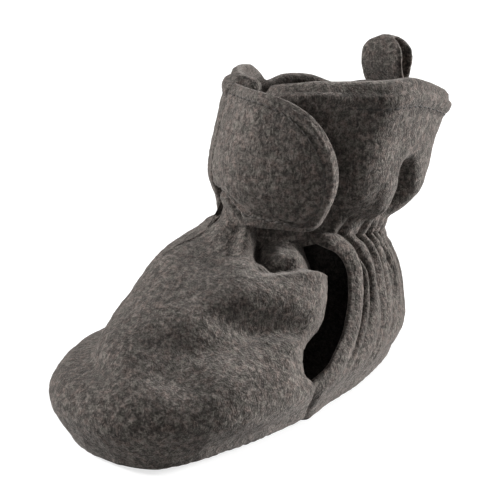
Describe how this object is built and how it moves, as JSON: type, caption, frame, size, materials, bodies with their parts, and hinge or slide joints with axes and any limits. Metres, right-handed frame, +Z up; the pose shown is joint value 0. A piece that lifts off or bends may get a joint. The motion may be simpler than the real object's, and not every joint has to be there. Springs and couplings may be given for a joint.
{
  "type": "baby bootie",
  "caption": "Soft left-foot baby bootie: padded fleece slipper with gathered heel, wrap-over strap collar, back pull loop and zigzag sole grips.",
  "frame": {"origin": "on the floor under the middle of the bounding box", "axes": "+Z up, -Y towards the toe, +X towards the outer side of the left foot"},
  "size_m": [0.0654, 0.1312, 0.0915],
  "materials": {
    "fleece": "mottled heather grey-brown fleece with a short nap",
    "lining": "brushed soft lining",
    "sole_fabric": "flat dark knit",
    "grip_print": "matte printed silicone, pale pinkish beige",
    "foam": "needled padding, stands in for a soft fibre pad",
    "elastic": "woven elastic tape",
    "fastener": "hook and loop tape"
  },
  "bodies": {
    "shoe": {"outer_sole": "sole_fabric", "insole_pad": "foam", "insole_sock": "lining", "grip_ball_1": "grip_print", "grip_ball_2": "grip_print", "grip_ball_3": "grip_print", "grip_ball_4": "grip_print", "grip_heel_1": "grip_print", "grip_heel_2": "grip_print", "grip_heel_3": "grip_print", "vamp_shell": "fleece", "vamp_lining": "lining", "tongue": "fleece", "heel_shell": "fleece", "heel_lining": "lining", "ankle_elastic": "elastic", "collar_shell": "fleece", "collar_lining": "lining", "collar_hem": "fleece", "loop_patch": "fastener", "loop_tails": "fleece"},
    "strap": {"strap_shell": "fleece", "strap_lining": "lining", "hook_patch": "fastener"},
    "loop": {"pull_loop": "fleece"}
  },
  "joints": [
    {"name": "strap_open", "type": "hinge", "parent": "shoe", "child": "strap", "pos_m": [-0.01266, -0.00412, 0.07], "axis": [0.109, -0.204, -0.9729], "range_deg": [0, 115]},
    {"name": "pull_loop_fold", "type": "hinge", "parent": "shoe", "child": "loop", "pos_m": [-0.0015, 0.06126, 0.07602], "axis": [1, 0, 0], "range_deg": [-25, 35], "stiffness_Nm_per_rad": 0.002}
  ]
}
